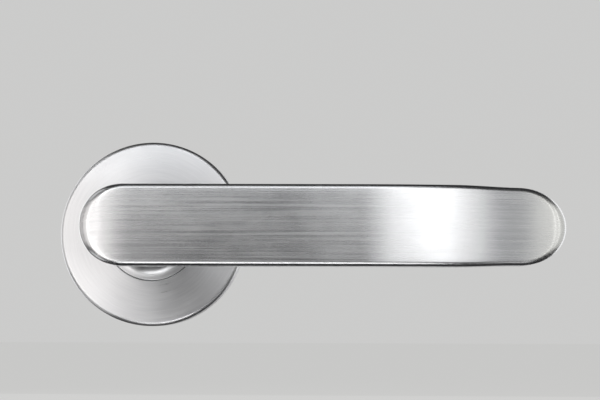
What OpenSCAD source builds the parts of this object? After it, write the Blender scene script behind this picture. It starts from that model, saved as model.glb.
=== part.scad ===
// Door lever handle on a round, sprung rose, for one side of a door.
//
// Frame: the door's face is the plane Y = 0 and the handle stands out from it towards -Y.
// The spindle's axis is the Y axis, +Z is up, and the lever points along +X.
// Turning the lever by a positive angle about +Y moves its free end down.
//
// Most modules draw in the rose's own frame: x to the right, y up, z out from the door.
// outward() turns that frame into the part's.

/* [Lever] */
// Length of the bar from end to end
lever_length = 126; // [118:1:140]
// Length of the bar on the short side of the spindle's axis
overhang = 14.5; // [13:0.5:17]
// Width of the bar, seen from the front
lever_width = 21; // [20:0.5:24]
// Thickness of the bar, front to back
lever_thickness = 9; // [8:0.5:10]
// Distance from the door to the bar's flat front
projection = 53; // [48:1:58]
// How much the bar's front bulges across its width
crown = 0.35; // [0.1:0.05:0.5]
// Rounding along the bar's long edges
edge_radius = 1.2; // [0.8:0.1:1.6]
// How far the bar's front rolls over at its short end, along the bar
short_roll = 6; // [4:0.5:6.5]
// How far the bar's front rolls over at its free end, along the bar
free_roll = 4; // [3:0.5:5]
// How deep both roll-overs sink
roll_depth = 2; // [1.6:0.1:2.4]
// How much narrower each side of the bar is near the free end
taper = 0.45; // [0:0.05:1]

/* [Fall of the lever's free end] */
// Where the flat front ends, measured from the spindle's axis
fall_start = 58; // [54:1:66]
// Radius of the arc in which the bar falls back towards the door
fall_radius = 165; // [150:5:220]

/* [Neck] */
// Diameter of the neck between rose and bar
neck_d = 17.6; // [17:0.1:18.4]
// Diameter of the neck's foot, which turns in the rose's opening
foot_d = 26.4; // [26:0.1:27]
// Radius of the hollow fillet between neck and foot
foot_fillet = 3.8; // [3.2:0.1:3.8]
// Diameter of the journal that turns in the bush
journal_d = 18; // [17.6:0.1:18]

/* [Rose] */
// Diameter of the rose
rose_d = 52; // [52:1:55]
// Height of the rose's front over the door, at the middle of the dome
rose_height = 10.75; // [10.7:0.05:11]
// Radius of the rose's domed front
dome_radius = 170; // [160:5:220]
// Rounding of the rose's rim
rim_radius = 1.3; // [1:0.1:1.5]
// Thickness of the rose's sheet
sheet = 1; // [0.8:0.1:1]

/* [Fixings] */
// Distance between the two through bolts
bolt_centres = 38; // [38:0.1:38.6]
// Diameter of the fixing lugs behind the base plate
lug_d = 7.2; // [7:0.1:7.6]
// How far the lugs stand into the door
lug_length = 5; // [4:0.5:8]
// Length of the through bolts behind the door's face
bolt_reach = 50; // [40:1:60]
// Distance between the two wood screws
screw_centres = 41.2; // [41:0.1:41.4]
// Width of the square spindle
spindle_size = 8; // [7, 8]
// How far the spindle reaches behind the door's face
spindle_reach = 62; // [45:1:80]

/* [Return spring] */
// How far the lever turns down
lever_travel = 45; // [30:1:45]
// Coils in each return spring
spring_coils = 9; // [6:1:10]
// Diameter of the spring wire
spring_wire = 0.8; // [0.6:0.1:0.9]

/* [Hidden] */

// Colours
SATIN = [0.72, 0.71, 0.69];
PLATED = [0.78, 0.78, 0.74];
SPRING_STEEL = [0.42, 0.42, 0.44];
BLACK_STEEL = [0.14, 0.14, 0.15];
CAST_ZINC = [0.56, 0.57, 0.58];
BLACK_NYLON = [0.10, 0.10, 0.11];
WHITE_ACETAL = [0.90, 0.89, 0.85];

// Gaps
eps = 0.01;       // overlap that makes a clean cut
seat_gap = 0.02;  // between pieces that are fixed together
run_gap = 0.04;   // radial clearance of the journal in its bush
free_gap = 0.3;   // between pieces that move past each other

// Heights over the door's face, from the back of the rose to its front
cover_plate_t = 1.2;
ring_groove_z = [0.6, 1.7];
ring_t = 1;
washer_z = [2.35, 2.8];
cam_z = [2.8, 6];
chamber_z = cam_z[1] + free_gap;
hub_z = 8;
flange_z = 6.5;
bush_flange_z = 8.8;
glide_z = 9.4;
foot_z = [9.5, 10.3];
neck_back = 0.3;
bar_back = projection - lever_thickness;

// Radii round the spindle's axis
foot_r = foot_d / 2;
neck_r = neck_d / 2;
journal_r = journal_d / 2;
tail_r = 7.5;
tail_flat = 6.7;
groove_r = 6.9;
spigot_r = 6;
spigot_depth = 4.8;
bush_r = 10.3;
bush_flange_r = 12.4;
cam_r = 11.6;
cavity_r = cam_r + free_gap;
chamber_r = 16.4;
lug_tip_r = chamber_r - free_gap;
hub_r = 18;
rose_r = rose_d / 2;
opening_r = foot_r + free_gap;
plate_r = rose_r - sheet - 0.4;
plate_hole_r = 9.8;
plate_edge_r = 17;

// The two spring chambers, the cam's lugs and the pins that stop the cam
chamber_span = [30, 150];
lug_span = [126, 148.5];
pin_r = 1;
pin_circle_r = cavity_r;
pin_front = 7.2;
notch_r = pin_circle_r - pin_r - free_gap;
notch_play = asin((pin_r + free_gap) / pin_circle_r);
spring_circle_r = 14.1;
spring_d = 4;
spring_span = [chamber_span[0] + 2.6, lug_span[0] - 2.6];
spring_z = (cover_plate_t + chamber_z) / 2;

// Screws and bolts
bolt_r = 2;
bolt_shank_r = 1.7;
bolt_bore_r = 2.15;
bolt_seat_z = 4;
bolt_seat_r = 4.5;
bolt_head_r = 3.8;
bolt_head_z = [4.8, 7.2];
washer_r = 4.2;
lug_r = lug_d / 2;
screw_r = 1.75;
screw_head_r = 3.3;
screw_head_t = 1.55;
screw_length = 20;
screw_tip = 4;
small_screw_r = 1.25;
small_screw_head_r = 1.9;
small_screw_z = 5.2;
small_screw_circle_r = 14.6;
small_screw_angle = 20;
grub_r = 3;
grub_z = 30;
grub_key = 3;
socket_top = 36.5;
spindle_top = 36;
spindle_play = 0.1;

// The ring that holds the cover
snap_z = 3.8;
snap_wire_r = 0.5;
snap_r = plate_r - 0.2;

// -------------------------------------------------------------------- helpers

// The rose's frame, with z out from the door, in the part's frame
module outward() {
    rotate([90, 0, 0])
        children();
}

// A ring between two radii and two heights
module ring(inner, outer, z) {
    translate([0, 0, z[0]])
        difference() {
            cylinder(r = outer, h = z[1] - z[0], $fn = 128);
            translate([0, 0, -1])
                cylinder(r = inner, h = z[1] - z[0] + 2, $fn = 128);
        }
}

// A block between two radii, two angles and two heights
module sector(inner, outer, angles, z) {
    rotate([0, 0, angles[0]])
        rotate_extrude(angle = angles[1] - angles[0], $fn = 128)
            translate([inner, z[0]])
                square([outer - inner, z[1] - z[0]]);
}

// Its children, and a copy turned half a turn about the spindle's axis
module pair() {
    for (turn = [0, 180])
        rotate([0, 0, turn])
            children();
}

// A cross recess for a screwdriver, cut down from z = 0
module cross_recess(width, depth) {
    for (turn = [0, 90])
        rotate([0, 0, turn])
            translate([-width / 2, -width / 8, -depth])
                cube([width, width / 4, depth + 1]);
}

// ----------------------------------------------------- the bar's curved shape

// Ends of the bar, and where its curved ends begin
bar_left = -overhang;
bar_right = lever_length - overhang;
left_end = 11.6;
right_end = 13;
left_power = 2.1;
right_power = 2.05;
half_width = lever_width / 2;
taper_start = 82;

// How far the bar has fallen back from its flat front, on an arc that runs to the free end
function fall(x) =
    x < fall_start ? 0 : fall_radius - sqrt(pow(fall_radius, 2) - pow(x - fall_start, 2));

// How far the front also eases down at the short end, before it rolls over
ease_start = -1;
ease_radius = 150;
function ease(x) = pow(max(0, ease_start - x), 2) / (2 * ease_radius);

function clamp01(t) = min(1, max(0, t));
function smooth(t) = t * t * (3 - 2 * t);

// Half the bar's width where its long sides run
taper_end = bar_right - right_end;
function side(x) = half_width - taper * smooth(clamp01((x - taper_start) / (taper_end - taper_start)));

// One side of the outline, from the left end over the top to the right end
left_steps = 9;
side_steps = 20;
right_steps = 10;
tip_half_width = side(taper_end);
left_arc = [
    for (i = [0 : left_steps - 1])
        let (t = 90 * i / left_steps)
            [
                bar_left + left_end * (1 - pow(cos(t), 2 / left_power)),
                half_width * pow(sin(t), 2 / left_power)
            ]
];
long_side = [
    for (i = [0 : side_steps])
        let (x = bar_left + left_end + (lever_length - left_end - right_end) * i / side_steps)
            [x, side(x)]
];
right_arc = [
    for (i = [1 : right_steps])
        let (t = 90 * i / right_steps)
            [
                bar_right - right_end * (1 - pow(sin(t), 2 / right_power)),
                tip_half_width * pow(max(0, cos(t)), 2 / right_power)
            ]
];
upper = concat(left_arc, long_side, right_arc);
lower = [for (i = [len(upper) - 2 : -1 : 1]) [upper[i][0], -upper[i][1]]];

// The whole outline, clockwise seen from the front, and its outward normals
rim = concat(upper, lower);
count = len(rim);
function unit(v) = v / norm(v);
normals = [
    for (i = [0 : count - 1])
        let (along = unit(rim[(i + 1) % count] - rim[(i + count - 1) % count]))
            [-along[1], along[0]]
];

// The edge is a quarter of an ellipse, [reach inwards, depth]. It is round along the bar's long
// sides, and on the front it grows into a wide roll-over where the outline faces along the bar.
function edge_size(n, face) =
    let (roll = face < 0 ? [2, 2] : n[0] < 0 ? [short_roll, roll_depth] : [free_roll, roll_depth])
        [edge_radius, edge_radius] + (roll - [edge_radius, edge_radius]) * n[0] * n[0];

// A loop that follows the outline on the edge. turn runs from 0 at the side to 90 on the face,
// and face is 1 for the front and -1 for the back.
function edge_loop(turn, face) = [
    for (i = [0 : count - 1])
        let (e = edge_size(normals[i], face), p = rim[i] - normals[i] * e[0] * (1 - cos(turn)))
            face_point(p, face, e[1] * (1 - sin(turn)))
];

// A loop drawn in from the last loop of the edge, for the crowned face
function inner_loop(share, face) = [
    for (i = [0 : count - 1])
        let (
            p = rim[i] - normals[i] * edge_size(normals[i], face)[0],
            mid = (bar_left + bar_right) / 2
        )
            face_point([mid + (p[0] - mid) * (0.9 + 0.1 * share), p[1] * share], face, 0)
];

// A point on the front or the back of the bar, sunk below its face by the given depth
function face_point(p, face, depth) =
    face > 0
    ? [p[0], p[1], projection - fall(p[0]) - ease(p[0]) - crown * pow(p[1] / half_width, 2) - depth]
    : [p[0], p[1], bar_back - fall(p[0]) + depth];

loops = concat(
    [inner_loop(0.5, -1)],
    [for (turn = [90, 60, 30, 0]) edge_loop(turn, -1)],
    [for (turn = [0, 22.5, 45, 67.5, 90]) edge_loop(turn, 1)],
    [for (share = [0.7, 0.35]) inner_loop(share, 1)]
);

// Triangles between two neighbouring loops
function band(k) = [
    for (i = [0 : count - 1])
        let (a = k * count + i, b = k * count + (i + 1) % count, c = a + count, d = b + count)
            each [[a, c, b], [b, c, d]]
];

// Triangles across the inside of a loop, from its upper side to its lower one
function infill(k, face) = [
    for (i = [0 : len(upper) - 2])
        let (
            a = k * count + i,
            b = a + 1,
            c = k * count + (count - i) % count,
            d = k * count + count - i - 1,
            last = len(upper) - 2
        )
            for (t = i == 0 ? [[a, b, d]] : i == last ? [[a, b, c]] : [[a, b, c], [c, b, d]])
                face > 0 ? t : [t[0], t[2], t[1]]
];

module bar_shape() {
    polyhedron(
        points = [for (l = loops) each l],
        faces = concat(
            infill(0, -1),
            [for (k = [0 : len(loops) - 2]) each band(k)],
            infill(len(loops) - 1, 1)
        ),
        convexity = 4
    );
}

// -------------------------------------------------------- pieces of the lever

module lever_bar() {
    color(SATIN)
        outward()
            difference() {
                bar_shape();
                translate([0, 0, bar_back - 1])
                    cylinder(r = spigot_r, h = spigot_depth + 1.1, $fn = 96);
            }
}

// Half section of the neck, from its tail behind the cam to the spigot in the bar
module neck_section() {
    lip = 0.8;
    difference() {
        union() {
            translate([0, neck_back])
                square([tail_r, cam_z[1] - neck_back]);
            translate([0, cam_z[1]])
                square([journal_r, foot_z[0] - cam_z[1]]);
            translate([0, foot_z[0]])
                square([foot_r, foot_z[1] - foot_z[0]]);
            translate([0, foot_z[1]])
                square([neck_r + foot_fillet, foot_fillet]);
            translate([0, foot_z[1]])
                square([neck_r, bar_back - foot_z[1]]);
            translate([0, bar_back - lip])
                square([neck_r + lip, lip]);
            translate([0, bar_back - eps])
                square([spigot_r - seat_gap, spigot_depth]);
        }
        translate([neck_r + foot_fillet, foot_z[1] + foot_fillet])
            circle(r = foot_fillet, $fn = 96);
        translate([neck_r + lip, bar_back - lip])
            circle(r = lip, $fn = 64);
        translate([groove_r, ring_groove_z[0]])
            square([2, ring_groove_z[1] - ring_groove_z[0]]);
    }
}

module lever_neck() {
    socket = spindle_size + spindle_play;
    color(SATIN)
        outward()
            difference() {
                rotate_extrude($fn = 128)
                    neck_section();
                translate([-socket / 2, -socket / 2, -1])
                    cube([socket, socket, socket_top + 1]);
                for (way = [-1, 1])
                    translate([way * (tail_flat + 2), 0, cam_z[1] / 2 - 1])
                        cube([4, 2 * tail_r, cam_z[1] + 2], center = true);
                translate([0, 0, grub_z])
                    rotate([90, 0, 0])
                        cylinder(r = grub_r, h = neck_r + 1, $fn = 64);
            }
}

module grub_screw() {
    bottom = spindle_size / 2 + spindle_play / 2 + seat_gap;
    top = neck_r - 0.6;
    color(BLACK_STEEL)
        outward()
            translate([0, 0, grub_z])
                rotate([90, 0, 0])
                    difference() {
                        translate([0, 0, bottom])
                            cylinder(r = grub_r - seat_gap, h = top - bottom, $fn = 64);
                        translate([0, 0, top - 2.2])
                            cylinder(r = grub_key / sqrt(3), h = 3, $fn = 6);
                    }
}

// The square bar, with its four corners just broken
module spindle() {
    corner_r = spindle_size * 0.68;
    color(PLATED)
        outward()
            translate([0, 0, -spindle_reach])
                intersection() {
                    translate([-spindle_size / 2, -spindle_size / 2, 0])
                        cube([spindle_size, spindle_size, spindle_reach + spindle_top]);
                    cylinder(r = corner_r, h = spindle_reach + spindle_top, $fn = 96);
                }
}

// Driven by the neck's two flats, it presses the return springs together with its two lugs
module return_cam() {
    bore_r = tail_r + seat_gap;
    bore_flat = tail_flat + seat_gap;
    color(CAST_ZINC)
        outward()
            difference() {
                union() {
                    translate([0, 0, cam_z[0]])
                        cylinder(r = cam_r, h = cam_z[1] - cam_z[0], $fn = 128);
                    pair()
                        sector(cam_r - 1, lug_tip_r, lug_span, cam_z);
                }
                intersection() {
                    cylinder(r = bore_r, h = 10, $fn = 96);
                    translate([-bore_flat, -10, 0])
                        cube([2 * bore_flat, 20, 10]);
                }
                pair()
                    sector(notch_r, cam_r + 1, [-notch_play, lever_travel + notch_play],
                           [cam_z[0] - 1, cam_z[1] + 1]);
            }
}

module thrust_washer() {
    color(PLATED)
        outward()
            ring(tail_r + 0.1, 9.6, washer_z);
}

// A coned washer that takes up the end play
module disc_spring() {
    inner = tail_r + 0.1;
    outer = 9.2;
    t = 0.4;
    back = ring_groove_z[0] + 0.02 + ring_t;
    color(SPRING_STEEL)
        outward()
            rotate_extrude($fn = 128)
                polygon([
                    [inner, back],
                    [outer, washer_z[0] - t],
                    [outer, washer_z[0]],
                    [inner, back + t]
                ]);
}

// A spring clip in the tail's groove, with two eyes for pliers
module retaining_ring() {
    back = ring_groove_z[0] + 0.02;
    outer = 8.9;
    front = back + ring_t;
    half_gap = 14;
    eye_r = 1.2;
    eye_circle_r = 8.25;
    color(BLACK_STEEL)
        outward()
            difference() {
                union() {
                    sector(groove_r + seat_gap, outer, [half_gap - 90, 270 - half_gap], [back, front]);
                    for (way = [-1, 1])
                        rotate([0, 0, -90 + way * (half_gap + 6)])
                            translate([eye_circle_r, 0, back])
                                cylinder(r = eye_r, h = ring_t, $fn = 48);
                }
                for (way = [-1, 1])
                    rotate([0, 0, -90 + way * (half_gap + 6)])
                        translate([eye_circle_r, 0, back - 1])
                            cylinder(r = 0.55, h = ring_t + 2, $fn = 32);
                ring(0, groove_r + seat_gap, [back - 1, front + 1]);
            }
}

// --------------------------------------------------------- pieces of the rose

// Half section of the rose's outside: a shallow dome with a rounded rim
module rose_outline(r, dome, rim) {
    dome_centre = rose_height - dome_radius;
    rim_z = dome_centre + sqrt(pow(dome - rim, 2) - pow(r - rim, 2));
    join_r = (r - rim) * dome / (dome - rim);
    square([r, rim_z]);
    translate([r - rim, rim_z])
        circle(r = rim, $fn = 96);
    intersection() {
        translate([0, dome_centre])
            circle(r = dome, $fn = 720);
        square([join_r, rose_height + 1]);
    }
}

module rose_cover() {
    bead = 0.3;
    bead_z = snap_z - 1.1;
    inner_r = rose_r - sheet;
    notch = [6, 1];
    color(SATIN)
        outward()
            difference() {
                rotate_extrude($fn = 180)
                    difference() {
                        rose_outline(rose_r, dome_radius, rim_radius);
                        difference() {
                            rose_outline(inner_r, dome_radius - sheet, rim_radius - sheet + 0.2);
                            translate([inner_r, bead_z])
                                circle(r = bead, $fn = 48);
                        }
                        square([opening_r, rose_height + 1]);
                    }
                translate([-notch[0] / 2, -rose_r - 1, -1])
                    cube([notch[0], 3, notch[1] + 1]);
            }
}

module base_plate() {
    color(BLACK_NYLON)
        outward()
            difference() {
                union() {
                    cylinder(r = plate_r, h = flange_z, $fn = 180);
                    cylinder(r = hub_r, h = hub_z, $fn = 180);
                    pair()
                        translate([bolt_centres / 2, 0, -lug_length])
                            cylinder(r = lug_r, h = lug_length + 1, $fn = 64);
                }
                // Bore for the bush, cavity for the cam and the two spring chambers
                translate([0, 0, -1])
                    cylinder(r = bush_r + seat_gap, h = hub_z + 2, $fn = 128);
                translate([0, 0, -1])
                    cylinder(r = cavity_r, h = chamber_z + 1, $fn = 128);
                pair()
                    sector(cavity_r - 1, chamber_r, chamber_span, [-1, chamber_z]);
                // Seat of the spring cover
                difference() {
                    translate([0, 0, -1])
                        cylinder(r = plate_edge_r + 0.1, h = cover_plate_t + 1, $fn = 128);
                    pair()
                        translate([bolt_centres / 2, 0, -2])
                            cylinder(r = lug_r + 0.5, h = cover_plate_t + 3, $fn = 64);
                }
                pair() {
                    // Through bolt
                    translate([bolt_centres / 2, 0, -lug_length - 1])
                        cylinder(r = bolt_bore_r, h = lug_length + hub_z, $fn = 48);
                    translate([bolt_centres / 2, 0, bolt_seat_z])
                        cylinder(r = bolt_seat_r, h = hub_z, $fn = 64);
                    // Stop pin
                    translate([pin_circle_r, 0, -1])
                        cylinder(r = pin_r, h = pin_front + 1, $fn = 48);
                    // Small screw of the spring cover
                    rotate([0, 0, small_screw_angle])
                        translate([small_screw_circle_r, 0, -1])
                            cylinder(r = small_screw_r, h = small_screw_z + 1.3, $fn = 32);
                    // Wood screw, countersunk
                    translate([0, screw_centres / 2, -1])
                        cylinder(r = screw_r + 0.15, h = flange_z + 2, $fn = 48);
                    translate([0, screw_centres / 2, flange_z - screw_head_t])
                        cylinder(r1 = screw_r + 0.15, r2 = screw_head_r + 0.15, h = screw_head_t, $fn = 64);
                    translate([0, screw_centres / 2, flange_z - eps])
                        cylinder(r = screw_head_r + 0.15, h = hub_z, $fn = 64);
                }
                // Groove of the snap ring
                rotate_extrude($fn = 180)
                    translate([snap_r - snap_wire_r - 0.1, snap_z - snap_wire_r - 0.1])
                        square([2, 2 * snap_wire_r + 0.2]);
            }
}

// The flanged bush that the journal turns in
module bearing_bush() {
    color(WHITE_ACETAL)
        outward()
            difference() {
                union() {
                    translate([0, 0, chamber_z])
                        cylinder(r = bush_r, h = bush_flange_z - chamber_z, $fn = 128);
                    translate([0, 0, hub_z])
                        cylinder(r = bush_flange_r, h = bush_flange_z - hub_z, $fn = 128);
                }
                cylinder(r = journal_r + run_gap, h = 20, $fn = 128);
            }
}

module glide_ring() {
    color(WHITE_ACETAL)
        outward()
            ring(journal_r + 0.2, bush_flange_r + 0.2, [bush_flange_z, glide_z]);
}

// Closes the spring chambers from behind
module spring_cover() {
    color(PLATED)
        outward()
            difference() {
                cylinder(r = plate_edge_r, h = cover_plate_t, $fn = 128);
                translate([0, 0, -1])
                    cylinder(r = plate_hole_r, h = 4, $fn = 128);
                pair() {
                    translate([bolt_centres / 2, 0, -1])
                        cylinder(r = lug_r + 0.6, h = 4, $fn = 64);
                    rotate([0, 0, small_screw_angle])
                        translate([small_screw_circle_r, 0, -1])
                            cylinder(r = small_screw_r + 0.1, h = 4, $fn = 32);
                    rotate([0, 0, small_screw_angle])
                        translate([small_screw_circle_r, 0, -eps])
                            cylinder(r1 = small_screw_head_r, r2 = small_screw_r + 0.1, h = 0.7, $fn = 48);
                }
            }
}

module cassette_screws() {
    play = 0.03;
    color(PLATED)
        outward()
            pair()
                rotate([0, 0, small_screw_angle])
                    translate([small_screw_circle_r, 0, 0])
                        difference() {
                            union() {
                                translate([0, 0, play])
                                    cylinder(r1 = small_screw_head_r - play, r2 = small_screw_r - play,
                                             h = 0.65, $fn = 48);
                                translate([0, 0, play])
                                    cylinder(r = small_screw_r - play, h = small_screw_z - play, $fn = 32);
                            }
                            mirror([0, 0, 1])
                                translate([0, 0, -play])
                                    cross_recess(1.6, 0.6);
                        }
}

// Centre line of a return spring: a coil wound along an arc round the spindle's axis
coil_r = (spring_d - spring_wire) / 2;
steps_per_coil = 14;
function spring_point(t) =
    let (
        turn = 360 * spring_coils * t,
        angle = spring_span[0] + (spring_span[1] - spring_span[0]) * t,
        r = spring_circle_r + coil_r * cos(turn)
    )
        [r * cos(angle), r * sin(angle), spring_z + coil_r * sin(turn)];

module return_spring() {
    sides = 7;
    rings = spring_coils * steps_per_coil;
    wire = [
        for (i = [0 : rings])
            let (
                t = i / rings,
                p = spring_point(t),
                along = unit(spring_point(t + 0.001) - spring_point(t - 0.001)),
                angle = spring_span[0] + (spring_span[1] - spring_span[0]) * t,
                middle = [spring_circle_r * cos(angle), spring_circle_r * sin(angle), spring_z],
                out = unit(p - middle),
                across = unit(cross(along, out)),
                up = cross(across, along)
            )
                for (k = [0 : sides - 1])
                    p + spring_wire / 2 * (up * cos(360 * k / sides) + across * sin(360 * k / sides))
    ];
    faces = [
        for (i = [0 : rings - 1], k = [0 : sides - 1])
            let (a = i * sides + k, b = i * sides + (k + 1) % sides)
                each [[a, b, a + sides], [b, b + sides, a + sides]]
    ];
    first = [for (k = [sides - 1 : -1 : 0]) k];
    last = [for (k = [0 : sides - 1]) rings * sides + k];
    color(SPRING_STEEL)
        outward()
            polyhedron(points = wire, faces = concat(faces, [first, last]), convexity = 10);
}

module return_spring_upper() {
    return_spring();
}

module return_spring_lower() {
    rotate([0, 180, 0])
        return_spring();
}

// Pressed into the base plate, they stop the cam at both ends of its travel
module stop_pins() {
    color(BLACK_STEEL)
        outward()
            pair()
                translate([pin_circle_r, 0, cover_plate_t])
                    cylinder(r = pin_r - seat_gap, h = pin_front - cover_plate_t - seat_gap, $fn = 48);
}

module through_bolts() {
    thread_start = lug_length + 1;
    color(PLATED)
        outward()
            pair()
                translate([bolt_centres / 2, 0, 0])
                    difference() {
                        union() {
                            translate([0, 0, bolt_head_z[0]])
                                cylinder(r = bolt_head_r, h = bolt_head_z[1] - bolt_head_z[0], $fn = 64);
                            translate([0, 0, -thread_start])
                                cylinder(r = bolt_shank_r, h = thread_start + bolt_head_z[0] + 1, $fn = 48);
                            translate([0, 0, -bolt_reach])
                                cylinder(r = bolt_r, h = bolt_reach - thread_start, $fn = 48);
                        }
                        translate([0, 0, bolt_head_z[1]])
                            cross_recess(4.4, 1.5);
                    }
}

module bolt_washers() {
    color(PLATED)
        outward()
            pair()
                translate([bolt_centres / 2, 0, 0])
                    ring(bolt_bore_r, washer_r, [bolt_seat_z, bolt_head_z[0]]);
}

module wood_screws() {
    top = flange_z - seat_gap;
    neck_top = top - screw_head_t + eps;
    color(PLATED)
        outward()
            pair()
                translate([0, screw_centres / 2, 0])
                    difference() {
                        union() {
                            translate([0, 0, top - screw_head_t])
                                cylinder(r1 = screw_r, r2 = screw_head_r, h = screw_head_t, $fn = 64);
                            translate([0, 0, -screw_length])
                                cylinder(r = screw_r, h = screw_length + neck_top, $fn = 48);
                            translate([0, 0, -screw_length - screw_tip])
                                cylinder(r1 = 0.15, r2 = screw_r, h = screw_tip, $fn = 48);
                        }
                        translate([0, 0, top])
                            cross_recess(3.4, 1.1);
                    }
}

// A split wire ring in the base plate's rim, which the cover's inner bead snaps over
module cover_snap_ring() {
    half_gap = 12;
    color(SPRING_STEEL)
        outward()
            rotate([0, 0, 90 + half_gap])
                rotate_extrude(angle = 360 - 2 * half_gap, $fn = 180)
                    translate([snap_r, snap_z])
                        circle(r = snap_wire_r, $fn = 32);
}

lever_bar();
lever_neck();
grub_screw();
spindle();
return_cam();
thrust_washer();
disc_spring();
retaining_ring();
rose_cover();
base_plate();
bearing_bush();
glide_ring();
spring_cover();
cassette_screws();
return_spring_upper();
return_spring_lower();
stop_pins();
through_bolts();
bolt_washers();
wood_screws();
cover_snap_ring();
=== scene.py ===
# The looks of a door lever handle: a brushed bar and neck on a round sprung rose.
#
# Everything is in metres, in the part's own frame. The door's face is the plane y = 0, the handle
# stands out towards -y, the spindle's axis is the y axis and the lever points along +x. Heights
# over the door are written as u, with u = -y.

import math

import bmesh
import bpy
from mathutils import Matrix, Vector


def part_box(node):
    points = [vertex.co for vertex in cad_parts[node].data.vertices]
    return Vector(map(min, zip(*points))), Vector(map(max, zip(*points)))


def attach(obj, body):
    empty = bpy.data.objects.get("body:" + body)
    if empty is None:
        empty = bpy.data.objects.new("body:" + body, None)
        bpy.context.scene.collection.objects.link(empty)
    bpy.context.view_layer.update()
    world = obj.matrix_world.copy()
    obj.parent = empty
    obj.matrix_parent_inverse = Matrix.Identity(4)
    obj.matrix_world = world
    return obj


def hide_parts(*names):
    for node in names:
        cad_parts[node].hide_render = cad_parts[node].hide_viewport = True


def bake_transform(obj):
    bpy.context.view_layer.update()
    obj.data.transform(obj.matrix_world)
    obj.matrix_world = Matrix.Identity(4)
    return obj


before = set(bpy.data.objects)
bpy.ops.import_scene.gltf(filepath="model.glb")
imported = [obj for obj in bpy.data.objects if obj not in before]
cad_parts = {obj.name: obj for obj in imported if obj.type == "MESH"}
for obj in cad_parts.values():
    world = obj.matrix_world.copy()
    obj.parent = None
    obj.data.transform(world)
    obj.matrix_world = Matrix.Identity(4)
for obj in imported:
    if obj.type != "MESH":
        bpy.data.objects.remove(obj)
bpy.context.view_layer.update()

scene = bpy.context.scene

# Turned pieces keep this radius where they meet their own axis
POLE_R = 0.0001


# ------------------------------------------------------------------ mesh helpers

def add_object(name, verts, faces):
    """A mesh object in the scene, with its faces turned outwards."""
    mesh = bpy.data.meshes.new(name)
    mesh.from_pydata(verts, [], faces)
    mesh.validate()
    face_outwards(mesh)
    made = bpy.data.objects.new(name, mesh)
    scene.collection.objects.link(made)
    return made


def add_piece(name, shape, material, node_name):
    """A piece of the given vertices and faces, which stands for a CAD node."""
    piece = add_object(name, *shape)
    piece.data.materials.append(material)
    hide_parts(node_name)
    return piece


def smooth(mesh, sharp_deg):
    """Smooth shading, with edges sharper than the given angle kept crisp."""
    mesh.polygons.foreach_set("use_smooth", [True] * len(mesh.polygons))
    mesh.set_sharp_from_angle(angle=math.radians(sharp_deg))


def skin(rings, wrap=False, caps=True):
    """Vertices and quads through rings of equal length. wrap joins the last ring to the first."""
    n = len(rings[0])
    verts = [p for ring in rings for p in ring]
    faces = []
    for k in range(len(rings) if wrap else len(rings) - 1):
        a, b = k * n, (k + 1) % len(rings) * n
        for i in range(n):
            j = (i + 1) % n
            faces.append((a + i, a + j, b + j, b + i))
    if caps and not wrap:
        faces.append(tuple(range(n - 1, -1, -1)))
        faces.append(tuple(range((len(rings) - 1) * n, len(rings) * n)))
    return verts, faces


def circle_point(radius, u, angle):
    """A point round the spindle's axis, with the angle counted from +x towards +z."""
    return Vector((radius * math.cos(angle), -u, radius * math.sin(angle)))


def lathe_rings(profile, angles):
    """One ring round the spindle's axis for each (radius, u) of a profile."""
    return [[circle_point(r, u, a) for a in angles] for r, u in profile]


def arc(centre, radius, start_deg, end_deg, steps):
    """Points (radius, u) on an arc of a profile, with 0 degrees pointing away from the axis."""
    out = []
    for i in range(steps + 1):
        a = math.radians(start_deg + (end_deg - start_deg) * i / steps)
        out.append((centre[0] + radius * math.cos(a), centre[1] + radius * math.sin(a)))
    return out


def even_angles(count):
    return [2 * math.pi * i / count for i in range(count)]


def cut(piece, cutters):
    """Takes the cutters' shapes out of a piece, and removes the cutters."""
    for cutter in cutters:
        modifier = piece.modifiers.new("cut", "BOOLEAN")
        modifier.operation = "DIFFERENCE"
        modifier.solver = "EXACT"
        modifier.object = cutter
    bpy.context.view_layer.update()
    evaluated = piece.evaluated_get(bpy.context.evaluated_depsgraph_get())
    result = bpy.data.meshes.new_from_object(evaluated)
    piece.modifiers.clear()
    piece.data = result
    for cutter in cutters:
        bpy.data.objects.remove(cutter)


def box_cutter(low, high):
    """A box between two corners, for cut()."""
    x0, y0, z0 = low
    x1, y1, z1 = high
    rings = [
        [Vector((x0, y, z0)), Vector((x1, y, z0)), Vector((x1, y, z1)), Vector((x0, y, z1))]
        for y in (y1, y0)
    ]
    return add_object("cutter", *skin(rings))


def rod_cutter(start, end, radius, sides=48):
    """A round rod from one point to another, for cut()."""
    along = (end - start).normalized()
    across = along.orthogonal().normalized()
    other = along.cross(across)
    rings = [
        [p + radius * (math.cos(a) * across + math.sin(a) * other) for a in even_angles(sides)]
        for p in (start, end)
    ]
    return add_object("cutter", *skin(rings))


def face_outwards(mesh):
    """Turns every face outwards."""
    bm = bmesh.new()
    bm.from_mesh(mesh)
    bmesh.ops.recalc_face_normals(bm, faces=bm.faces)
    bm.to_mesh(mesh)
    bm.free()


# --------------------------------------------------------------- material helpers

# Sockets of a Mix node that mixes colours
MIX_DARK, MIX_LIGHT, MIX_RESULT = 6, 7, 2


def new_material(name):
    """A node material, its tree and its shader."""
    material = bpy.data.materials.new(name)
    material.use_nodes = True
    tree = material.node_tree
    return material, tree, tree.nodes["Principled BSDF"]


def feed(tree, socket, value):
    """Links a socket to another one, or sets its value."""
    if isinstance(value, bpy.types.NodeSocket):
        tree.links.new(value, socket)
    else:
        socket.default_value = value


def node(tree, kind, **values):
    """A node with its properties set, and with its inputs fed by arguments such as in_Color."""
    made = tree.nodes.new(kind)
    for key, value in values.items():
        if key.startswith("in_"):
            feed(tree, made.inputs[key[3:].replace("_", " ")], value)
        else:
            setattr(made, key, value)
    return made


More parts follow.
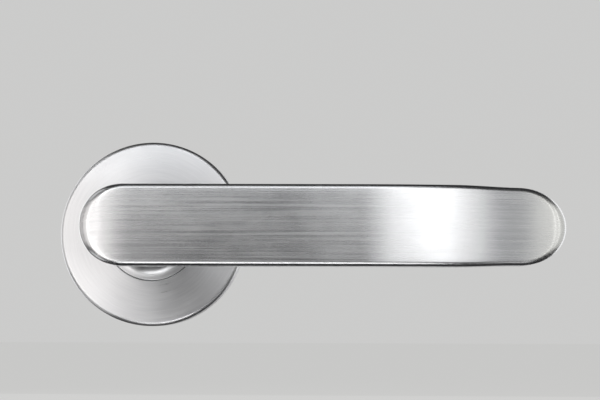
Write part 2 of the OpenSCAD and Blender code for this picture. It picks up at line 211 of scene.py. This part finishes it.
def operation_node(tree, kind, operation, values):
    """A node that works on its inputs in order."""
    made = node(tree, kind, operation=operation)
    for socket, value in zip(made.inputs, values):
        feed(tree, socket, value)
    return made


def math_node(tree, operation, *values):
    return operation_node(tree, "ShaderNodeMath", operation, values).outputs[0]


def vector_node(tree, operation, *values):
    made = operation_node(tree, "ShaderNodeVectorMath", operation, values)
    return made.outputs["Value" if operation == "LENGTH" else "Vector"]


def noise(tree, place, stretch, detail=2.0, roughness=0.5):
    """Noise over a place that is first multiplied by stretch, in cells per metre."""
    scaled = vector_node(tree, "MULTIPLY", place, stretch)
    made = node(tree, "ShaderNodeTexNoise", in_Vector=scaled, in_Scale=1.0, in_Detail=detail,
                in_Roughness=roughness)
    return made.outputs["Fac"]


def between(tree, value, low, high, in_low=0.3, in_high=0.7):
    """Maps a value from one range to another, held inside it."""
    made = node(tree, "ShaderNodeMapRange", in_Value=value, in_From_Min=in_low,
                in_From_Max=in_high, in_To_Min=low, in_To_Max=high)
    return made.outputs["Result"]


def mix_colour(tree, share, dark, light):
    made = node(tree, "ShaderNodeMix", data_type="RGBA", in_Factor=share)
    made.inputs[MIX_DARK].default_value = (*dark, 1)
    made.inputs[MIX_LIGHT].default_value = (*light, 1)
    return made.outputs[MIX_RESULT]


def object_place(tree):
    return node(tree, "ShaderNodeTexCoord").outputs["Object"]


def round_place(tree, place):
    """Where a point lies on a turned surface: a direction round the spindle, and its distance
    from the axis plus its height, so that what is stretched along the turning has no seam."""
    xyz = node(tree, "ShaderNodeSeparateXYZ", in_Vector=place)
    x, y, z = xyz.outputs
    flat = node(tree, "ShaderNodeCombineXYZ", in_X=x, in_Y=0.0, in_Z=z).outputs[0]
    turn = node(tree, "ShaderNodeSeparateXYZ", in_Vector=vector_node(tree, "NORMALIZE", flat))
    across = math_node(tree, "SUBTRACT", vector_node(tree, "LENGTH", flat), y)
    return node(tree, "ShaderNodeCombineXYZ", in_X=turn.outputs[0], in_Y=across,
                in_Z=turn.outputs[2]).outputs[0]


def grain_tangent(tree, grooves):
    """The direction on the surface that is square to the grooves, in which light spreads."""
    normal = node(tree, "ShaderNodeNewGeometry").outputs["Normal"]
    return vector_node(tree, "NORMALIZE", vector_node(tree, "CROSS_PRODUCT", normal, grooves))


def set_bump(tree, shader, height, depth):
    """Raises the surface by up to the given depth, for shading only."""
    bump = node(tree, "ShaderNodeBump", in_Height=height, in_Distance=depth, in_Strength=1.0)
    tree.links.new(bump.outputs[0], shader.inputs["Normal"])


def groove_lines(tree, fine, broad):
    """Fine and broad brush lines laid over each other."""
    return math_node(tree, "ADD", math_node(tree, "MULTIPLY", fine, 0.6),
                     math_node(tree, "MULTIPLY", broad, 0.4))


# Satin steel in its grooves and between them, and how much the grooves spread light across them
STEEL = ((0.595, 0.60, 0.61), (0.72, 0.722, 0.73))
GROOVE_SPREAD = 0.55


def brushed_finish(tree, shader, lines, smudges, grooves, roughness, depth):
    """Satin steel whose fine grooves run in the direction grooves."""
    shader.inputs["Metallic"].default_value = 1.0
    shader.inputs["Anisotropic"].default_value = GROOVE_SPREAD
    colour = mix_colour(tree, between(tree, lines, 0.0, 1.0, 0.25, 0.75), *STEEL)
    tree.links.new(colour, shader.inputs["Base Color"])
    grain = between(tree, lines, roughness - 0.05, roughness + 0.05)
    worn = math_node(tree, "ADD", grain, between(tree, smudges, -0.03, 0.04))
    tree.links.new(worn, shader.inputs["Roughness"])
    set_bump(tree, shader, lines, depth)
    tree.links.new(grain_tangent(tree, grooves), shader.inputs["Tangent"])


# Name of the map that the bar's brush lines follow
BRUSH_MAP = "brush"


def satin_bar():
    """Satin stainless steel, brushed along the bar."""
    material, tree, shader = new_material("satin_bar")
    brush = node(tree, "ShaderNodeUVMap", uv_map=BRUSH_MAP).outputs[0]
    between_cells = (0.0, 0.0, 0.4)  # the noise is weaker on the faces of its cells
    place = vector_node(tree, "ADD", brush, between_cells)
    fine = noise(tree, place, (32, 6400, 1), 2.0, 0.6)
    broad = noise(tree, place, (18, 3200, 1), 1.0)
    smudges = noise(tree, object_place(tree), (45, 45, 70), 3.0)
    along_bar = (1.0, 0.0, 0.0)
    brushed_finish(tree, shader, groove_lines(tree, fine, broad), smudges, along_bar,
                   roughness=0.25, depth=0.0000015)
    return material


def satin_turned():
    """Satin stainless steel, turned round the spindle's axis."""
    material, tree, shader = new_material("satin_turned")
    place = object_place(tree)
    turned = round_place(tree, place)
    fine = noise(tree, turned, (3, 6500, 3), 3.0, 0.6)
    broad = noise(tree, turned, (1.5, 1800, 1.5), 2.0)
    smudges = noise(tree, place, (60, 60, 60), 3.0)
    round_axis = vector_node(tree, "CROSS_PRODUCT", place, (0.0, 1.0, 0.0))
    brushed_finish(tree, shader, groove_lines(tree, fine, broad), smudges, round_axis,
                   roughness=0.33, depth=0.0000012)
    return material


def grained(name, dark, light, smoothest, roughest, fine_noise, patch_noise, depth):
    """A surface with a fine even grain and faint patches of colour, and its shader. Each noise
    is what noise() takes: its stretch, its detail and its roughness."""
    material, tree, shader = new_material(name)
    place = object_place(tree)
    fine = noise(tree, place, *fine_noise)
    patches = noise(tree, place, *patch_noise)
    tree.links.new(mix_colour(tree, between(tree, patches, 0, 1), dark, light),
                   shader.inputs["Base Color"])
    tree.links.new(between(tree, fine, smoothest, roughest), shader.inputs["Roughness"])
    set_bump(tree, shader, fine, depth)
    return material, shader


def plain_metal(name, dark, light, roughness, grain, depth):
    """Metal: plated, blackened, cast or drawn."""
    material, shader = grained(name, dark, light, roughness - 0.08, roughness + 0.1,
                               (grain, 4.0, 0.6), ((160, 160, 160), 3.0), depth)
    shader.inputs["Metallic"].default_value = 1.0
    return material


def moulded(name, dark, light, roughness, grain, depth):
    """Moulded plastic."""
    material, _ = grained(name, dark, light, roughness - 0.07, roughness + 0.1,
                          (grain, 3.0, 0.65), ((90, 90, 90), 2.0), depth)
    return material


BAR_STEEL = satin_bar()
TURNED_STEEL = satin_turned()
PLATED = plain_metal("zinc_plated", (0.60, 0.61, 0.60), (0.78, 0.78, 0.75), 0.30,
                     (2500, 2500, 2500), 0.000006)
DRAWN = plain_metal("drawn_plated", (0.58, 0.59, 0.59), (0.76, 0.76, 0.74), 0.32,
                    (4200, 90, 4200), 0.000008)
SPRING_STEEL = plain_metal("spring_steel", (0.30, 0.30, 0.33), (0.44, 0.43, 0.43), 0.28,
                           (3000, 3000, 3000), 0.000004)
BLACK_STEEL = plain_metal("black_oxide", (0.035, 0.036, 0.04), (0.09, 0.088, 0.085), 0.42,
                          (3500, 3500, 3500), 0.000006)
CAST_ZINC = plain_metal("cast_zinc", (0.38, 0.39, 0.40), (0.50, 0.51, 0.52), 0.5,
                        (1600, 1600, 1600), 0.00002)
BLACK_NYLON = moulded("black_nylon", (0.018, 0.018, 0.02), (0.035, 0.035, 0.038), 0.55,
                      (2800, 2800, 2800), 0.00002)
WHITE_ACETAL = moulded("white_acetal", (0.74, 0.73, 0.69), (0.84, 0.83, 0.79), 0.4,
                       (1500, 1500, 1500), 0.000008)


# ------------------------------------------------------------------- the lever bar

bar_low, bar_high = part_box("lever_bar")
bar_left, bar_right = bar_low.x, bar_high.x
half_width = bar_high.z
flat_front, bar_thickness = 0.053, 0.009
bar_back = flat_front - bar_thickness

# Ends of the outline, and the taper towards the free end
left_end, left_power = 0.0116, 2.1
right_end, right_power = 0.013, 2.05
taper, taper_start, taper_end = 0.00045, 0.082, bar_right - right_end

# The arc in which the free end falls back towards the door, and the bulge across the bar
fall_start, fall_radius = 0.058, 0.165
crown = 0.00035

# The front also eases down a little towards the short end, before it rolls over
ease_start, ease_radius = -0.001, 0.150

# The edges, and how the front rolls over at both ends: [reach inwards, depth]
edge = (0.0012, 0.0012)
short_roll = (0.006, 0.002)
free_roll = (0.004, 0.002)
back_roll = (0.002, 0.002)

# How far the loops on the front and the back run in across the bar, and draw in along it
INNER_REACH, INNER_PULL = 0.94, 0.1


def fall(x):
    """How far the bar has fallen back from its flat front."""
    if x < fall_start:
        return 0.0
    return fall_radius - math.sqrt(fall_radius ** 2 - (x - fall_start) ** 2)


def ease(x):
    """How far the front has eased down at the short end."""
    return max(0.0, ease_start - x) ** 2 / (2 * ease_radius)


def side(x):
    """Half the bar's width where its long sides run."""
    t = min(1.0, max(0.0, (x - taper_start) / (taper_end - taper_start)))
    return half_width - taper * t * t * (3 - 2 * t)


def bar_outline():
    """The outline seen from the front as (x, z), from the left end over the top and back."""
    end_steps, side_steps = ((34, 110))
    upper = []
    for i in range(end_steps):
        t = math.pi / 2 * i / end_steps
        upper.append((bar_left + left_end * (1 - math.cos(t) ** (2 / left_power)),
                      half_width * math.sin(t) ** (2 / left_power)))
    for i in range(side_steps + 1):
        x = bar_left + left_end + (taper_end - bar_left - left_end) * i / side_steps
        upper.append((x, side(x)))
    for i in range(1, end_steps + 1):
        t = math.pi / 2 * i / end_steps
        upper.append((taper_end + right_end * math.sin(t) ** (2 / right_power),
                      side(taper_end) * max(0.0, math.cos(t)) ** (2 / right_power)))
    return upper + [(x, -z) for x, z in reversed(upper[1:-1])]


def outline_normals(outline):
    """The outward direction at each point of the outline."""
    out = []
    count = len(outline)
    for i in range(count):
        (x0, z0), (x1, z1) = outline[i - 1], outline[(i + 1) % count]
        length = math.hypot(x1 - x0, z1 - z0)
        out.append((-(z1 - z0) / length, (x1 - x0) / length))
    return out


def face_point(x, z, front, depth):
    """A point on the bar's front or back, sunk below that face."""
    if front:
        sunk = fall(x) + ease(x) + crown * (z / half_width) ** 2 + depth
        return Vector((x, -(flat_front - sunk), z))
    return Vector((x, -(bar_back - fall(x) + depth), z))


def lever_bar():
    """Loops that follow the outline, from the middle of the back over the edges to the front."""
    outline = bar_outline()
    normals = outline_normals(outline)
    middle = (bar_left + bar_right) / 2
    edge_steps, inner_steps = ((14, 9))

    def edge_size(normal, front):
        roll = back_roll if not front else short_roll if normal[0] < 0 else free_roll
        share = normal[0] ** 2
        return [e + (r - e) * share for e, r in zip(edge, roll)]

    def inset(i, front, turn):
        reach, depth = edge_size(normals[i], front)
        x = outline[i][0] - normals[i][0] * reach * (1 - math.cos(turn))
        z = outline[i][1] - normals[i][1] * reach * (1 - math.cos(turn))
        return x, z, depth * (1 - math.sin(turn))

    def edge_loop(front, turn):
        out = []
        for i in range(len(outline)):
            x, z, depth = inset(i, front, turn)
            out.append(face_point(x, z, front, depth))
        return out

    def inner_loop(front, share):
        out = []
        for i in range(len(outline)):
            x, z, _ = inset(i, front, math.pi / 2)
            drawn_in = middle + (x - middle) * (1 - INNER_PULL * (1 - share))
            out.append(face_point(drawn_in, z * share, front, 0))
        return out

    turns = [math.pi / 2 * k / edge_steps for k in range(edge_steps + 1)]
    shares = [1 - INNER_REACH * k / inner_steps for k in range(1, inner_steps + 1)]
    loops = [inner_loop(False, s) for s in reversed(shares)]
    loops += [edge_loop(False, t) for t in reversed(turns)]
    loops += [edge_loop(True, t) for t in turns]
    loops += [inner_loop(True, s) for s in shares]

    count = len(outline)
    verts, faces = skin(loops, caps=False)
    half = count // 2
    for base, front in ((0, False), ((len(loops) - 1) * count, True)):
        for i in range(half):
            a, b = base + i, base + i + 1
            c, d = base + (count - i) % count, base + count - i - 1
            quad = [a, b, d, c]
            quad = [v for k, v in enumerate(quad) if v not in quad[:k]]
            faces.append(tuple(quad if not front else reversed(quad)))
    bar = add_piece("lever_bar_brushed", (verts, faces), BAR_STEEL, "lever_bar")
    smooth(bar.data, 40)
    add_brush_map(bar.data)
    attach(bar, "lever")


def add_brush_map(mesh):
    """Metres along the bar, and across it: what varies across the grooves is the height z on
    the front and back, and the thickness on the sides, counted from the unbent bar."""
    layer = mesh.uv_layers.new(name=BRUSH_MAP)
    side_share = 0.9
    for loop in mesh.loops:
        p = mesh.vertices[loop.vertex_index].co
        layer.data[loop.index].uv = (p.x, p.z + (p.y - fall(p.x)) * side_share)


# ------------------------------------------------------------------------ the neck

foot_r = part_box("lever_neck")[1].x
neck_r = 0.0088
foot_fillet = 0.0038
foot_back, foot_front = 0.0095, 0.0103
journal_r, tail_r, tail_flat = 0.0090, 0.0075, 0.0067
neck_back, cam_front = -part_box("lever_neck")[1].y, 0.0060
groove_r, groove = 0.0069, (0.0006, 0.0017)
spigot_r, spigot_depth, neck_lip = 0.0059, 0.0048, 0.0008
grub_r, grub_u = 0.0030, 0.0300
socket_half = 0.00405
socket_top = 0.0365

# How far cutters reach past the faces that they cut
SPARE = 0.001


def neck_profile():
    """Half section of the neck as (radius, u), from its tail to the spigot in the bar."""
    steps, straight = ((12, 16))
    r = 0.00025
    profile = [(POLE_R, neck_back)]
    profile += [(tail_r - r, neck_back), (tail_r, neck_back + r)]
    profile += [(tail_r, groove[0]), (groove_r, groove[0]), (groove_r, groove[1])]
    profile += [(tail_r, groove[1]), (tail_r, cam_front), (journal_r - r, cam_front)]
    profile += [(journal_r, cam_front + r), (journal_r, foot_back)]
    profile += arc((foot_r - r, foot_back + r), r, -90, 0, 4)
    profile += arc((foot_r - r, foot_front - r), r, 0, 90, 4)
    profile += arc((neck_r + foot_fillet, foot_front + foot_fillet), foot_fillet, 270, 180, steps)
    bottom, top = foot_front + foot_fillet, bar_back - neck_lip
    profile += [(neck_r, bottom + (top - bottom) * k / straight) for k in range(1, straight)]
    profile += arc((neck_r + neck_lip, top), neck_lip, 180, 90, steps // 2)
    profile += [(spigot_r, bar_back), (spigot_r, bar_back + spigot_depth)]
    return profile + [(POLE_R, bar_back + spigot_depth)]


def lever_neck():
    """The turned neck, with its square socket, the cam's two flats and the grub screw's hole."""
    angles = even_angles(144)
    shape = skin(lathe_rings(neck_profile(), angles))
    neck = add_piece("lever_neck_turned", shape, TURNED_STEEL, "lever_neck")
    cut(neck, [
        box_cutter((-socket_half, -socket_top, -socket_half), (socket_half, SPARE, socket_half)),
        box_cutter((tail_flat, -cam_front, -tail_r), (2 * tail_r, SPARE, tail_r)),
        box_cutter((-2 * tail_r, -cam_front, -tail_r), (-tail_flat, SPARE, tail_r)),
        rod_cutter(Vector((0, -grub_u, 0)), Vector((0, -grub_u, -neck_r - SPARE)), grub_r)
    ])
    smooth(neck.data, 35)
    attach(neck, "lever")


# ------------------------------------------------------------------- the rose cover

cover_low, cover_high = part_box("rose_cover")
rose_r = cover_high.x

# The gap round the neck's foot is drawn finer than the CAD model's running gap of 0.3 mm
foot_gap = 0.00012
opening_r = foot_r + foot_gap
sheet = 0.0010
dome_radius = 0.170
rim_radius = 0.0013
dome_centre = -cover_low.y - math.sqrt(dome_radius ** 2 - opening_r ** 2)
bead_r, bead_u = 0.0003, 0.0027
notch_width, notch_height, notch_depth = 0.006, 0.001, 0.002


def dome(r, radius):
    """Height of a dome of the given radius, at a distance from the spindle's axis."""
    return dome_centre + math.sqrt(radius ** 2 - r ** 2)


def cover_profile():
    """Half section of the cover as (radius, u), over its front and back along its inside."""
    steps = 40
    lip = 0.00015
    inner_r, inner_dome = rose_r - sheet, dome_radius - sheet
    rim_u = dome_centre + math.sqrt((dome_radius - rim_radius) ** 2 - (rose_r - rim_radius) ** 2)
    tilt = math.degrees(math.asin((rose_r - rim_radius) / (dome_radius - rim_radius)))
    first, last = opening_r + lip, (rose_r - rim_radius) * dome_radius / (dome_radius - rim_radius)
    profile = arc((opening_r + lip, dome(first, dome_radius) - lip), lip, 180, 90, 5)
    for k in range(1, steps + 1):
        r = first + (last - first) * k / steps
        profile.append((r, dome(r, dome_radius)))
    profile += arc((rose_r - rim_radius, rim_u), rim_radius, 90 - tilt, 0, 12)[1:]
    edge_r = 0.00015
    profile += [(rose_r, rim_u * k / 5) for k in (4, 3, 2, 1)]
    profile += arc((rose_r - edge_r, edge_r), edge_r, 0, -90, 3)
    profile += [(inner_r, 0.0), (inner_r, bead_u - bead_r)]
    profile += arc((inner_r, bead_u), bead_r, 270, 90, 8)
    corner = sheet * 0.4
    profile += arc((inner_r - corner, dome(inner_r, inner_dome) - corner), corner, 0, 80, 5)
    for k in range(steps // 2, -1, -1):
        r = opening_r + (inner_r - 2 * corner - opening_r) * k / (steps // 2)
        profile.append((r, dome(r, inner_dome)))
    return profile


def rose_cover():
    """The turned cover, with a notch at the bottom of its rim to prise it off by."""
    angles = even_angles(288)
    shape = skin(lathe_rings(cover_profile(), angles), wrap=True)
    cover = add_piece("rose_cover_turned", shape, TURNED_STEEL, "rose_cover")
    cut(cover, [box_cutter((-notch_width / 2, -notch_height, -rose_r - SPARE),
                           (notch_width / 2, SPARE, notch_depth - rose_r))])
    smooth(cover.data, 35)
    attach(cover, "rose")


# -------------------------------------------------------------------- threaded rods

# Flat root and sloping flank of a thread, as shares of its half pitch, and how much is left of
# the ridge at its end and of the radius at a pointed tip
ROOT_SHARE, FLANK_SHARE = 0.12, 0.7
END_SHARE, TIP_SHARE = 0.15, 0.06


def thread_height(u, angle, pitch):
    """Height of a thread's ridge, from 0 at its root to 1 on its crest."""
    t = (u / pitch + angle / (2 * math.pi)) % 1.0
    ridge = 1 - abs(2 * t - 1)
    return min(1.0, max(0.0, (ridge - ROOT_SHARE) / FLANK_SHARE))


def threaded_screw(name, centre, profile, thread, node_name, recess, tip=0.0):
    """A plated screw along the y axis. profile is its head and shank as (radius, u), and thread is
    (crest radius, root radius, pitch, start u, end u), with u falling into the door. recess is
    the width and depth of the cross in its head."""
    crest, root, pitch, start, end = thread
    sides = 36
    rows_per_pitch = 12
    angles = even_angles(sides)
    rings = [[circle_point(r, u, a) for a in angles] for r, u in profile]
    rows = int((start - end) / pitch * rows_per_pitch)
    for k in range(rows + 1):
        u = start - (start - end) * k / rows
        fade = min(1.0, k / rows_per_pitch, (rows - k) / rows_per_pitch + END_SHARE)
        point = min(1.0, (u - end) / tip + TIP_SHARE) if tip else 1.0
        ring = []
        for a in angles:
            height = thread_height(u, a, pitch) * fade
            ring.append(circle_point((root + (crest - root) * height) * point, u, a))
        rings.append(ring)
    rings = [[p + centre for p in ring] for ring in rings]
    screw = add_piece(name, skin(rings), PLATED, node_name)
    cut(screw, cross_cutters(centre, profile[0][1], *recess))
    smooth(screw.data, 40)
    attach(screw, "rose")


def cross_cutters(centre, u, width, depth):
    """Two bars that cut a cross recess into a head's face at height u."""
    arm = width / 8
    top = -u - SPARE
    return [
        box_cutter((centre.x - a, top, centre.z - b), (centre.x + a, -u + depth, centre.z + b))
        for a, b in ((width / 2, arm), (arm, width / 2))
    ]


bolt_low, bolt_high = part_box("through_bolts")
bolt_head_r = 0.0038
bolt_centre = bolt_high.x - bolt_head_r
bolt_head = (0.0048, -bolt_low.y)
bolt_shank_r, bolt_crest, bolt_root, bolt_pitch = 0.0017, 0.0020, 0.0016, 0.0007
bolt_thread_u = -0.006
bolt_recess = (0.0044, 0.0015)


def through_bolts():
    """Two M4 bolts with rounded heads."""
    r = 0.0006
    profile = [(POLE_R, bolt_head[1])]
    profile += arc((bolt_head_r - r, bolt_head[1] - r), r, 90, 0, 5)
    profile += [(bolt_head_r, bolt_head[0])]
    profile += [(bolt_shank_r, bolt_head[0]), (bolt_shank_r, bolt_thread_u)]
    thread = (bolt_crest, bolt_root, bolt_pitch, bolt_thread_u, -bolt_high.y)
    for way, word in ((1, "right"), (-1, "left")):
        centre = Vector((way * bolt_centre, 0, 0))
        threaded_screw(f"through_bolt_{word}", centre, profile, thread, "through_bolts",
                       bolt_recess)


screw_low, screw_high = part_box("wood_screws")
screw_head_r = screw_high.x
screw_centre = screw_high.z - screw_head_r
screw_head_u = -screw_low.y
screw_head_t, screw_shank_u = 0.00155, 0.001
screw_crest, screw_root, screw_pitch, screw_tip = 0.00175, 0.00115, 0.0016, 0.004
screw_thread_u = -0.0002
screw_recess = (0.0034, 0.0011)


def wood_screws():
    """Two countersunk wood screws."""
    r = 0.0001
    profile = [(POLE_R, screw_head_u), (screw_head_r - r, screw_head_u)]
    profile += [(screw_head_r, screw_head_u - r), (screw_crest, screw_head_u - screw_head_t)]
    profile += [(screw_crest, screw_shank_u), (screw_root + 2 * r, 0.0)]
    thread = (screw_crest, screw_root, screw_pitch, screw_thread_u, -screw_high.y)
    for way, word in ((1, "upper"), (-1, "lower")):
        centre = Vector((0, 0, way * screw_centre))
        threaded_screw(f"wood_screw_{word}", centre, profile, thread, "wood_screws",
                       screw_recess, screw_tip)


# ----------------------------------------------------------------- the return springs

spring_circle_r, spring_u = 0.0141, 0.00375
spring_wire, spring_coil_r, spring_coils = 0.0004, 0.0016, 9
spring_start, spring_end = math.radians(32.6), math.radians(123.4)

# A step along the coil, as a share of it, over which its direction is measured
COIL_STEP = 0.0005


def return_spring(name, node_name, half_turn):
    """A coil wound along an arc, with its turns evenly spaced."""
    steps, sides = ((30, 10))

    def middle(t):
        angle = spring_start + (spring_end - spring_start) * t + half_turn
        return angle, circle_point(spring_circle_r, spring_u, angle)

    def wire_point(t):
        angle, centre = middle(t)
        turn = 2 * math.pi * spring_coils * t
        out = Vector((math.cos(angle), 0, math.sin(angle)))
        lift = Vector((0, -1, 0))
        return centre + spring_coil_r * (math.cos(turn) * out + math.sin(turn) * lift)

    rings = []
    for i in range(spring_coils * steps + 1):
        t = i / (spring_coils * steps)
        p = wire_point(t)
        along = (wire_point(t + COIL_STEP) - wire_point(t - COIL_STEP)).normalized()
        out = (p - middle(t)[1]).normalized()
        across = along.cross(out).normalized()
        lift = across.cross(along)
        rings.append([p + spring_wire * (math.cos(a) * lift + math.sin(a) * across)
                      for a in even_angles(sides)])
    spring = add_piece(name, skin(rings), SPRING_STEEL, node_name)
    smooth(spring.data, 50)
    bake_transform(spring)


# ------------------------------------------------------------ CAD nodes that are kept

# Material of each CAD node that is kept, and the width of its bevelled edges
KEPT = {
    "grub_screw": (BLACK_STEEL, 0.00015),
    "spindle": (DRAWN, 0.0003),
    "return_cam": (CAST_ZINC, 0.0001),
    "thrust_washer": (PLATED, 0.00008),
    "disc_spring": (SPRING_STEEL, 0.00005),
    "retaining_ring": (BLACK_STEEL, 0.0001),
    "base_plate": (BLACK_NYLON, 0.00012),
    "bearing_bush": (WHITE_ACETAL, 0.00008),
    "glide_ring": (WHITE_ACETAL, 0.00008),
    "spring_cover": (PLATED, 0.00012),
    "cassette_screws": (PLATED, 0.00005),
    "stop_pins": (BLACK_STEEL, 0.0001),
    "bolt_washers": (PLATED, 0.0001),
    "cover_snap_ring": (SPRING_STEEL, 0.0)
}


def finish_kept_nodes():
    """Gives the CAD nodes their materials and, where they have edges, fine bevels."""
    for name, (material, bevel) in KEPT.items():
        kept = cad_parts[name]
        kept.data.materials.clear()
        kept.data.materials.append(material)
        smooth(kept.data, 30)
        if bevel:
            modifier = kept.modifiers.new("edges", "BEVEL")
            modifier.width = bevel
            modifier.segments = 2
            modifier.limit_method = "ANGLE"
            modifier.angle_limit = math.radians(40)
            modifier.harden_normals = True


lever_bar()
lever_neck()
rose_cover()
through_bolts()
wood_screws()
return_spring("return_spring_upper_coil", "return_spring_upper", 0.0)
return_spring("return_spring_lower_coil", "return_spring_lower", math.pi)
finish_kept_nodes()


# ------------------------------------------------------------------------ the stage

def pale_surface():
    """An evenly lit pale surface: most of its light is its own, so that it shows few shadows."""
    material, tree, shader = new_material("pale_floor")
    tree.nodes.remove(shader)
    glow = node(tree, "ShaderNodeEmission", in_Color=(0.80, 0.80, 0.79, 1), in_Strength=0.72)
    matt = node(tree, "ShaderNodeBsdfDiffuse", in_Color=(0.10, 0.10, 0.10, 1))
    both = node(tree, "ShaderNodeAddShader")
    tree.links.new(glow.outputs[0], both.inputs[0])
    tree.links.new(matt.outputs[0], both.inputs[1])
    tree.links.new(both.outputs[0], tree.nodes["Material Output"].inputs["Surface"])
    return material


def pale_floor():
    """A wide pale floor below the handle, clear of the lever when it is turned down. The metal
    doesn't reflect it, and it doesn't hold back the lights below it."""
    size, drop = 6.0, 0.11
    corners = [(x * size, y * size, -drop) for x, y in ((-1, -1), (1, -1), (1, 1), (-1, 1))]
    mesh = bpy.data.meshes.new("floor")
    mesh.from_pydata(corners, [], [(0, 1, 2, 3)])
    mesh.materials.append(pale_surface())
    floor = bpy.data.objects.new("floor", mesh)
    scene.collection.objects.link(floor)
    floor.visible_glossy = False
    floor.visible_shadow = False


def studio_world(seen, reflected):
    """An even pale background, and a dimmer room for what the metal reflects."""
    world = bpy.data.worlds.new("studio")
    world.use_nodes = True
    tree = world.node_tree
    backdrop = node(tree, "ShaderNodeBackground", in_Color=(*seen, 1), in_Strength=1.0)
    room = tree.nodes["Background"]
    room.inputs["Color"].default_value = (*reflected, 1)
    path = node(tree, "ShaderNodeLightPath")
    mix = node(tree, "ShaderNodeMixShader")
    tree.links.new(path.outputs["Is Camera Ray"], mix.inputs["Fac"])
    tree.links.new(room.outputs[0], mix.inputs[1])
    tree.links.new(backdrop.outputs[0], mix.inputs[2])
    tree.links.new(mix.outputs[0], tree.nodes["World Output"].inputs["Surface"])
    scene.world = world


def softbox(name, place, aim, width, height, glow, colour):
    """An evenly glowing panel that faces a point and that the camera doesn't see."""
    light = bpy.data.lights.new(name, "AREA")
    light.shape = "RECTANGLE"
    light.size, light.size_y = width, height
    light.energy = glow * math.pi * width * height
    light.color = colour
    lamp = bpy.data.objects.new(name, light)
    lamp.location = place
    lamp.rotation_euler = (Vector(aim) - Vector(place)).to_track_quat("-Z", "Y").to_euler()
    lamp.visible_camera = False
    scene.collection.objects.link(lamp)


# Colours of the panels, and the two points that they face
WHITE, WARM, COOL, CREAM = (1, 1, 1), (1.0, 0.972, 0.955), (0.965, 0.98, 1.0), (1.0, 0.995, 0.945)
AT_BAR, AT_ROSE = (0.05, -0.05, 0.0), (0.0, -0.01, 0.0)

# Soft panels all round: name, place, point faced, width, height, glow and colour. The narrow
# ones on the right make the bright band on the part of the bar that falls back.
PANELS = [
    ("left_fade_in", (-0.14, -1.08, 0.08), AT_ROSE, 0.10, 1.0, 0.35, WHITE),
    ("key_left", (-0.56, -1.04, 0.08), AT_ROSE, 0.74, 1.0, 1.40, WARM),
    ("far_left", (-1.05, -0.80, 0.08), AT_ROSE, 0.5, 1.0, 1.0, WARM),
    ("side_left", (-1.0, -0.15, 0.05), AT_ROSE, 0.6, 0.8, 0.7, WARM),
    ("high_left", (-0.80, -0.15, 0.75), AT_ROSE, 0.6, 0.5, 0.8, WHITE),
    ("deep_left", (-0.80, -0.15, -0.75), AT_ROSE, 0.6, 0.5, 0.8, WHITE),
    ("low_right", (0.62, -0.52, -0.60), AT_ROSE, 0.30, 0.30, 0.8, WHITE),
    ("right_first", (0.07, -0.75, 0.08), AT_BAR, 0.04, 0.5, 0.15, WHITE),
    ("right_fade_in", (0.115, -0.75, 0.08), AT_BAR, 0.05, 0.5, 0.60, WHITE),
    ("right_high", (0.12, -0.68, 0.44), AT_BAR, 0.24, 0.16, 0.6, WHITE),
    ("right_near", (0.19, -0.74, 0.08), AT_BAR, 0.10, 0.5, 1.50, WHITE),
    ("right_bright", (0.285, -0.70, 0.10), AT_BAR, 0.10, 0.5, 2.05, WHITE),
    ("right_far", (0.38, -0.68, 0.10), AT_BAR, 0.10, 0.5, 1.20, WHITE),
    ("right_fade_out", (0.52, -0.66, 0.06), AT_BAR, 0.16, 0.6, 0.40, COOL),
    ("side_right", (0.75, -0.64, 0.05), AT_BAR, 0.25, 0.7, 1.00, CREAM),
    ("far_right", (1.0, -0.50, 0.05), AT_BAR, 0.4, 0.7, 1.00, CREAM),
    ("side_far_right", (1.05, -0.05, 0.05), AT_BAR, 0.7, 0.8, 0.75, CREAM),
    ("top_front", (-0.15, -0.95, 0.50), AT_ROSE, 0.90, 0.3, 1.70, COOL),
    ("high_front", (0.05, -0.70, 0.75), AT_ROSE, 0.6, 0.3, 1.3, COOL),
    ("low_left", (-0.35, -0.95, -0.42), AT_ROSE, 0.5, 0.3, 1.0, WHITE),
    ("low_side", (-0.55, -0.75, -0.35), AT_ROSE, 0.4, 0.4, 1.2, WARM),
    ("low_front", (0.05, -0.95, -0.42), AT_ROSE, 0.4, 0.3, 0.25, WHITE),
    ("deep_front", (0.05, -0.70, -0.75), AT_ROSE, 0.6, 0.3, 3.2, WHITE),
    ("back_left", (-0.95, 0.95, 0.10), AT_ROSE, 1.3, 1.5, 1.5, WHITE),
    ("back_right", (1.0, 0.85, 0.10), AT_ROSE, 1.1, 1.5, 1.3, WHITE),
    ("back_middle", (0.05, 1.4, 0.05), AT_ROSE, 0.9, 1.3, 0.7, WHITE)
]


def studio():
    """The floor, the background and the panels."""
    pale_floor()
    studio_world(seen=(0.60, 0.60, 0.595), reflected=(0.03, 0.03, 0.031))
    for panel in PANELS:
        softbox(*panel)


def front_camera():
    """The view from a little below and to the right of the spindle, looking slightly up."""
    place = Vector((0.0473, -0.4563, -0.0247))
    pitch, yaw, roll = (math.radians(a) for a in (4.39, -0.72, 0.18))
    lens, sensor, nearest = 95.3, 36.0, 0.01
    ahead = Vector((math.sin(yaw) * math.cos(pitch), math.cos(yaw) * math.cos(pitch),
                    math.sin(pitch)))
    right = Vector((math.cos(yaw), -math.sin(yaw), 0))
    up = right.cross(ahead)
    right, up = (right * math.cos(roll) + up * math.sin(roll),
                 up * math.cos(roll) - right * math.sin(roll))
    data = bpy.data.cameras.new("camera")
    data.lens = lens
    data.sensor_width = sensor
    data.clip_start = nearest
    camera = bpy.data.objects.new("camera", data)
    turn = Matrix((right, up, -ahead)).transposed().to_4x4()
    camera.matrix_world = Matrix.Translation(place) @ turn
    scene.collection.objects.link(camera)
    scene.camera = camera


studio()
front_camera()
scene.view_settings.view_transform = "Standard"
